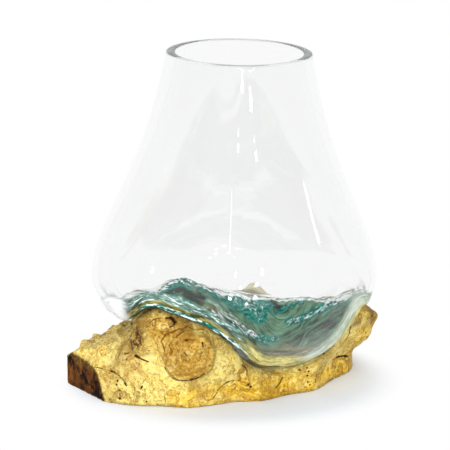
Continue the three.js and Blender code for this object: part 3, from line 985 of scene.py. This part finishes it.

# %% [markdown]
# ## Smoke and streaks
# The streaks are noise drawn out along the flow and cut at a level, so that they have firm edges. Stored
# patches move that level, and say where teal, dark or gold glass and painted white reflections are strongest,
# and where pale painted reflection and painted light lie. What is not covered is see-through.

# %% The smoke's material
wire, output = new_finish("base_smoke_glass", smoke.data)
place = wire.add("ShaderNodeTexCoord", out="Object")
flow_at = wire.add("ShaderNodeAttribute", {"attribute_name": "flow"}, out="Vector")
cover, teal, white = wire.stored("cover"), wire.stored("teal"), wire.stored("white")
dark, gold, veil, calm = wire.stored("dark"), wire.stored("gold"), wire.stored("veil"), wire.stored("calm")
broad = flow_at.noise(2.2, 2.0, 0.5)
strand = flow_at.noise(5.0, 3.0, 0.6)
hair = flow_at.noise(15.0, 2.0, 0.6)
thread = flow_at.noise(10.0, 2.0, 0.55)
mottle = place.noise(70.0, 3.0, 0.6)
fleck = place.noise(240.0, 2.0, 0.6)

depth = broad * 0.45 + strand * 0.55 + hair * 0.35 * (1.0 - calm) + mottle * 0.25 + dark * 0.42
smoky = depth.shades(0.74, 1.14, "#7DAC8C", "#0B2E1B")
smoky = (depth.rise(0.80, 0.62) * (1.0 - calm)).over(smoky, "#ACD2BE")
teal_level = strand * 0.6 + broad * 0.35 + fleck * 0.2 + teal * 0.70
teal_share = teal_level.rise(0.78, 0.90) * (1.0 - calm)
teal_tone = (hair * 0.7 + fleck * 0.5).shades(0.50, 0.74, "#004A42", "#16AA97")
tinted = teal_share.colour(smoky, teal_tone)
olive = (strand * 0.6 + mottle * 0.5).shades(0.42, 0.70, "#3D3A10", "#B9AC55")
golden = (gold * 1.2 * (1.0 - teal_share * 0.4)).colour(tinted, olive)
# pale tone of the painted reflection and painted light
veil_tone = (strand * 0.6 + hair * 0.4).shades(0.35, 0.62, "#A3B49A", "#E4EEE2")
pale = (veil * 0.85).colour(golden, veil_tone)
# white lines laid over all: painted reflections of the white room
white_level = hair * 0.7 + thread * 0.45 + fleck * 0.2 + white * 0.40
white_share = white_level.rise(0.935, 0.975)
final = white_share.over(pale, "#FBFFFE")
torn = (cover * 1.5 + (strand - 0.5) * 0.9 + (hair - 0.5) * 0.6).rise(0.45, 0.80)
thin = (0.95 - veil * 0.35 - gold * 0.1 - (1.0 - dark) * 0.05).most(white_share).most(teal_share)
finish = {"Base Color": final, "Roughness": 1.0, "Specular IOR Level": 0.0, "Alpha": (torn * thin).clip()}
surface_of(wire, output, finish)

# %% [markdown]
# The lip's finish goes by the height above its edge: a near-black painted shadow line, the teal ribbon with
# painted white highlights, then olive glass on the left, yellow in the middle and, on the right, pale painted
# reflection. The hanging part at the left is painted near white, as painted light. The height is made a little
# wavy by noise first, so that no edge runs straight.

# %% The coloured lip's material
wire, output = new_finish("lip_ribbon_glass", ribbon.data)
flow_at = wire.add("ShaderNodeAttribute", {"attribute_name": "flow"}, out="Vector")
up, left, right, hanging = (wire.stored(name) for name in ("up", "left", "right", "hanging"))
broad = flow_at.noise(1.2, 2.0, 0.5)
strand = flow_at.noise(3.4, 3.0, 0.6)
hair = flow_at.noise(9.0, 2.0, 0.6)
streak = strand * 0.6 + hair * 0.4
wavy = up + (broad - 0.5) * 3.0 + (strand - 0.5) * 1.6
teal_tone = hair.shades(0.40, 0.62, "#004F46", "#129483")
# painted white highlights on the teal ribbon
teal_tone = (strand * 0.6 + hair * 0.5).rise(0.55, 0.62).over(teal_tone, "#EFFCF8")
olive_tone = streak.shades(0.38, 0.62, "#33330F", "#A89C48")
yellow_tone = streak.shades(0.36, 0.62, "#9C9138", "#F2E796")
# pale tone on the right: painted reflection
pale_tone = streak.shades(0.36, 0.64, "#A6B892", "#E9F2E4")
slate_tone = streak.shades(0.38, 0.60, "#26382F", "#7BA092")
# painted white highlights in the slate band
slate_tone = (hair * 0.7 + strand * 0.3).rise(0.56, 0.61).over(slate_tone, "#EAF8F4")
# the hanging part painted near white, as painted light
white_tone = streak.shades(0.30, 0.46, "#A4C0B6", "#FCFEFE")
# painted shadow line along the lip's edge
lip_edge_shadow = (1.0 - wavy.rise(0.2, 1.2)) * (1.0 - right) * (1.0 - hanging)
in_ribbon = wavy.rise(0.4, 1.0) * (1.0 - wavy.rise(3.0, 3.8)) * left * wire.stored("thread")
base = left.colour(yellow_tone, olive_tone)
base = right.colour(base, wavy.rise(1.5, 4.5).colour(yellow_tone, pale_tone))
base = (wavy.rise(5.0, 7.5) * left).colour(base, slate_tone)
base = in_ribbon.colour(base, teal_tone)
base = lip_edge_shadow.over(base, "#10140A")
base = hanging.colour(base, white_tone)
solid = 0.95 - left * 0.05 - right * 0.1
body = wavy.rise(13.0 + left * 2.0, 7.0 + left * 4.0) * solid * streak.rise(0.20, 0.42)
body = body.most(hanging * up.rise(16.0, 11.0) * 0.5)
lip_alpha = body.most(in_ribbon).most(lip_edge_shadow * 0.85) * wire.stored("fade")
finish = {"Base Color": base, "Roughness": 0.3, "Specular IOR Level": 0.2, "Alpha": lip_alpha.clip(), "IOR": 1.45}
surface_of(wire, output, finish)

# %% The bubbles' material
wire, output = new_finish("bubble_glass", bubbles.data)
place = wire.add("ShaderNodeTexCoord", out="Object")
shade = place.noise(600.0, 2.0).shades(0.4, 0.7, "#FFFFFF", "#C9E4E0")
surface_of(wire, output, {"Base Color": shade, "Roughness": 0.1, "IOR": 1.5})

# %% [markdown]
# ## Burl wood
# Burl has no straight grain. Its figure is marbled: smooth fields of noise steer where the next noise is read,
# which folds it into swirls, and fine fibres, flecks, painted glints of highlight and pits lie over that.
# Contour lines of one noise would be simpler, but they look like a map and not like wood. The ground under the
# figure is yellow, with the stored patches in cream, orange, brown and moss green. Dark cracks and folds come
# over the figure, with painted shade in the hollows of the relief, along the foot and below the burl's ring, and
# last the sawn end and the bed under the glass, which is yellow at its edge and dark further in, with painted
# shade where the gap to the glass is narrow and a painted shadow line under its lip.

# %% The wood's material
wire, output = new_finish("burl_wood", wood.data)
place = wire.add("ShaderNodeTexCoord", out="Object")
wander = place.noise(38.0, 3.0, 0.55, 0.0, out="Color")
bent = wander.vector("MULTIPLY_ADD", (0.05, 0.05, 0.05), place)
fibre = bent.noise(150.0, 3.0, 0.6)
hair = bent.noise(300.0, 3.0, 0.65)
curl = bent.noise(70.0, 2.0, 0.5)
tone = place.noise(30.0, 3.0, 0.6)
mottle = place.noise(420.0, 3.0, 0.7)
figure_at = wire.add("ShaderNodeCombineXYZ", None, {0: curl * 13.0, 1: tone * 9.0, 2: mottle * 0.9})
marble = figure_at.noise(1.0, 2.0, 0.55)
speckle = place.noise(900.0, 2.0, 0.6)
pits = wire.add("ShaderNodeTexVoronoi", None, {"Vector": bent, "Scale": 230.0, "Randomness": 1.0})
mark = wire.stored
print("fields of noise in the wood:", sum(node.type.startswith("TEX") for node in wire.tree.nodes))

# %% Ground colours of the wood
light = (fibre * 0.5 + hair * 0.5 + mottle * 0.35 + curl * 0.25).rise(0.54, 0.90)
light = light * 0.62 + mottle.rise(0.34, 0.58) * 0.24 + tone.rise(0.2, 0.6) * 0.18
ground = light.between("#F2B636", "#FFEE8C")
cream = light.between("#C88C30", "#FFEC88")
orange = light.between("#C07A08", "#FFD440")
brownish = light.between("#663C08", "#E2B44A")
mossy = light.between("#382C08", "#CCB45C")
ground = mark("pale").colour(ground, cream)
ground = (mark("golden") * tone.rise(0.30, 0.58)).colour(ground, orange)
ground = (mark("burl") * 0.9).colour(ground, brownish)
ground = (mark("knob") * 1.1).colour(ground, brownish)
ground = (mark("olive") * 0.95).colour(ground, mossy)
ground = (mark("rosy") * fibre.rise(0.45, 0.6) * 0.55).over(ground, "#BE7436")
ground = mark("lump").colour(ground, light.between("#D2D8A0", "#FFFFE8"))
print("ground colours mixed with %d nodes so far" % len(wire.tree.nodes))

# %% Its figure, and what lies in its cracks and folds
ridge = (1.0 - abs(curl - 0.5) * 15.0).clip() * tone.rise(0.40, 0.58)
swirls = (1.0 - abs(fibre - 0.5) * 11.0).clip() * mottle.rise(0.36, 0.54)
flecks = (hair * 0.7 + speckle * 0.4).rise(0.475, 0.42)
# painted glints: small pale spots that stand in for highlights
painted_glints = (hair * 0.6 + mottle * 0.5).rise(0.62, 0.68)
pit_dots = pits.rise(0.22, 0.10) * tone.rise(0.50, 0.60) * fibre.rise(0.46, 0.58)
lines = (ridge * hair.rise(0.36, 0.54) * 0.7).most(flecks * 0.6)
layers = [
    # from the ground up: how much of a layer there is, and its colour
    (marble.rise(0.48, 0.37) * 0.52, "#936014"),
    (marble.rise(0.56, 0.66) * 0.5, "#FFF2A8"),
    (swirls * 0.2, "#9A6A14"),
    # painted highlights
    (painted_glints * 0.55, "#FFF6BE"),
    (lines, "#6E4212"),
    # painted shade in the hollows of the relief
    (mark("hollow").rise(0.50, 0.95) * 0.4, "#8A5C18"),
    (mark("ring").rise(0.08, 0.75) * 0.85 * fibre.rise(0.28, 0.44), "#6A4110"),
    (mark("brown") * (hair * 0.6 + fibre * 0.4).rise(0.40, 0.54) * 0.95, "#4E2C0D"),
    (pit_dots * 0.85, "#4A2A0A"),
    (mark("crack").rise(0.10, 0.6) * 0.95, "#2A1505"),
    (mark("lump") * 0.7, "#F4F6CC"),
    # painted shade along the foot
    (mark("foot") * fibre.rise(0.3, 0.6) * 0.6, "#5A340C"),
]
figured = ground
for share, code in layers:
    figured = share.over(figured, code)
print("layers over the ground colours:", len(layers))

# %% The sawn end, the bed under the glass, and the relief of the figure
saw_place = wire.add("ShaderNodeMapping", None, {"Vector": place, "Scale": (1.0, 1.0, 0.7)})
saw_grain = saw_place.noise(120.0, 5.0, 0.7, 0.6)
sawn_wood = (saw_grain * 0.8 + tone * 0.35).shades(0.42, 0.74, "#1E0E04", "#7C4A1C")
sawn_wood = (mark("stain") * 1.3 * saw_grain.rise(0.66, 0.44)).over(sawn_wood, "#120804")
sapwood = saw_grain.shades(0.4, 0.65, "#5A4218", "#A8853A")
sawn_wood = (mark("sapwood") * 0.75).colour(sawn_wood, sapwood)
figured = mark("sawn").colour(figured, sawn_wood)

charred = (fibre * 0.6 + tone * 0.6).shades(0.4, 0.8, "#2E352C", "#6F7560")
seat_wood = (fibre * 0.6 + speckle * 0.4).shades(0.35, 0.62, "#B0A040", "#F4E78E")
figured = (mark("seat") * 0.8).colour(figured, seat_wood)
figured = mark("scorch").colour(figured, charred)
# painted shade in the narrow gap under the glass, then the painted shadow line under its lip
figured = (mark("contact") * 0.75).over(figured, "#241B07")
figured = (mark("lip_shadow") * (hair * 0.5 + 0.7)).over(figured, "#1E1406")

height = marble * 0.8 + painted_glints * 0.3 + fibre * 0.6 + hair * 0.35 + curl * 0.6 + mottle * 0.3
height = height - pit_dots * 0.8 - lines * 0.5
bump = wire.add("ShaderNodeBump", None, {"Height": height, "Strength": 0.85, "Distance": 0.001})
rough = (0.45 + speckle * 0.25 + mark("sawn") * 0.3 + mark("crack") * 0.2).clip()
finish = {"Base Color": figured, "Roughness": rough, "Normal": bump, "Specular IOR Level": 0.12}
surface_of(wire, output, finish)

# %% [markdown]
# ## What each piece stands for, and what it moves with
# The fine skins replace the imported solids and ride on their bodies. Smoke and bubbles are in the glass, so
# they rise with the bowl.

# %% Riding on the bodies
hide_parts("glass_bowl")
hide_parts("root_base")
in_glass = (bowl, smoke, ribbon, bubbles)
for piece in in_glass:
    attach(piece, "bowl")
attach(wood, "root")
print("lifted with the bowl:", [piece.name for piece in in_glass], "and left on the table:", wood.name)

# %% [markdown]
# ## Floor, light and camera
# The object stands on a plain white floor. Close to it the floor is a real surface that takes its shadow,
# and further away it is pure white, also where it is seen through the glass. Light comes evenly from all
# round, with one large soft lamp from the front to model the wood, and small lamps that only show as
# reflections in the glass. In an all-white room clear glass would lose its outline, so what the outside of the
# bowl mirrors from the floor in front of it is a grey band, like the edge of a table.

# %% White floor
floor_mesh = bpy.data.meshes.new("floor")
half = 6.0
floor_mesh.from_pydata([(-half, -half, 0), (half, -half, 0), (half, half, 0), (-half, half, 0)], [], [(0, 1, 2, 3)])
floor = put_in_scene("floor", floor_mesh)
floor.location.z = -0.0003


def ray_kinds(wire):
    """Whether a ray comes from the camera, was mirrored, or went through glass."""
    node = wire.add("ShaderNodeLightPath").socket.node
    return [Wire(wire.tree, node.outputs["Is %s Ray" % kind]) for kind in ("Camera", "Glossy", "Transmission")]


wire, output = new_finish("white_floor", floor_mesh)
place = wire.add("ShaderNodeNewGeometry", out="Position")
oval, offset = (1.0, 1.3, 0.0), (0.004, 0.034, 0.0)
away = place.vector("MULTIPLY_ADD", oval, offset).vector("LENGTH", out="Value")
rays, glossy, through = ray_kinds(wire)
plain = wire.add("ShaderNodeBsdfDiffuse", None, {"Color": (0.80, 0.84, 0.91, 1.0)})
forward = place.vector("DOT_PRODUCT", (0.0, -1.0, 0.0), out="Value")
table_edge = glossy * (1.0 - through) * forward.rise(0.10, 0.20) * forward.rise(1.5, 0.9)
sheet_white = table_edge.between("#FFFFFF", "#464646")
white_light = wire.add("ShaderNodeEmission", None, {"Color": sheet_white, "Strength": 1.0})
share = ((away.rise(0.108, 0.15) * 0.95 + 0.05) * rays).most(glossy).most(through)
mixed = wire.add("ShaderNodeMixShader", None, {0: share, 1: plain, 2: white_light})
wire.plug(output.inputs["Surface"], mixed)
print("floor: %.0f m across, with %d nodes" % (2 * half, len(wire.tree.nodes)))

# %% World and lamps
world = bpy.data.worlds.new("studio")
scene.world = world
world.use_nodes = True
world.node_tree.nodes.clear()
wire = Wire(world.node_tree)
output = world.node_tree.nodes.new("ShaderNodeOutputWorld")
rays, glossy, through = ray_kinds(wire)
seen = rays.most(glossy).most(through)
even_light = wire.add("ShaderNodeBackground", None, {"Color": paint("#FFFFFF"), "Strength": 0.84})
white_room = wire.add("ShaderNodeBackground", None, {"Color": paint("#FFFFFF"), "Strength": 1.0})
wire.plug(output.inputs["Surface"], wire.add("ShaderNodeMixShader", None, {0: seen, 1: even_light, 2: white_room}))


def lamp(name, place, aim, size, power, reflections_only=False):
    data = bpy.data.lights.new(name, "AREA")
    data.shape, data.size, data.size_y, data.energy = "RECTANGLE", size[0], size[1], power
    made = put_in_scene(name, data)
    made.location = place
    made.rotation_euler = (Vector(aim) - Vector(place)).to_track_quat("-Z", "Y").to_euler()
    made.visible_camera = False
    made.visible_diffuse = not reflections_only
    made.visible_glossy = made.visible_transmission = reflections_only


def far_lamp(name, azimuth, height, size, power, away=2.4):
    """A lamp that shows only as a reflection, by its angles from the front and from level."""
    turn, rise, middle = np.radians(azimuth), np.radians(height), 0.15
    place = (away * np.sin(turn), -away * np.cos(turn), middle + away * np.tan(rise))
    lamp(name, place, (0, 0, middle), size, power, reflections_only=True)


lamp("soft_key", (-0.38, -2.05, 1.15), (0, 0, 0.06), (1.2, 1.2), 34)
small_lamps = [
    # name, degrees to the right and up, width and height in metres, watts
    ("window_low_left", -3.5, 4.5, (0.11, 0.10), 1.6),
    ("window_low_right", 16, 5.5, (0.10, 0.12), 1.7),
    ("window_low_middle", 9, -1.0, (0.08, 0.08), 0.8),
    ("window_left", 5.0, 13.5, (0.09, 0.06), 1.0),
    ("window_right", 17.5, 15, (0.11, 0.10), 1.5),
    ("pane_left", 1.0, 22.0, (0.06, 0.06), 0.5),
    ("pane_right", 23.0, 22.0, (0.07, 0.06), 0.6),
    ("strip_high", -5, 33.4, (0.035, 0.16), 0.8),
    ("strip_side", 84, 22, (0.10, 0.24), 1.2),
]
for each in small_lamps:
    far_lamp(*each)
print("lamps: one soft key and %d that only show in the glass" % len(small_lamps))

scene.view_settings.view_transform = "Standard"
# light goes back and forth many times inside a thick clear wall before it leaves it
scene.cycles.max_bounces = 32
scene.cycles.glossy_bounces = scene.cycles.transmission_bounces = 28

# %% [markdown]
# The camera stands in front, far enough away for the slight perspective of the photograph, and looks down by
# 16 degrees, which makes the mouth as narrow an oval as it is there. A long lens frames the object.

# %% Camera at the photograph's angle
pitch, distance = np.radians(16.05), 1.66
target = Vector((-0.008, 0.0, 0.128))
camera_data = bpy.data.cameras.new("camera")
camera_data.lens, camera_data.sensor_width = 157.7, 36.0
camera_data.clip_start, camera_data.clip_end = 0.05, 30.0
camera = put_in_scene("camera", camera_data)
camera.location = target - distance * Vector((0.0, np.cos(pitch), -np.sin(pitch)))
camera.rotation_euler = (np.pi / 2 - pitch, 0.0, 0.0)
scene.camera = camera
print("camera at", [round(v, 3) for v in camera.location])
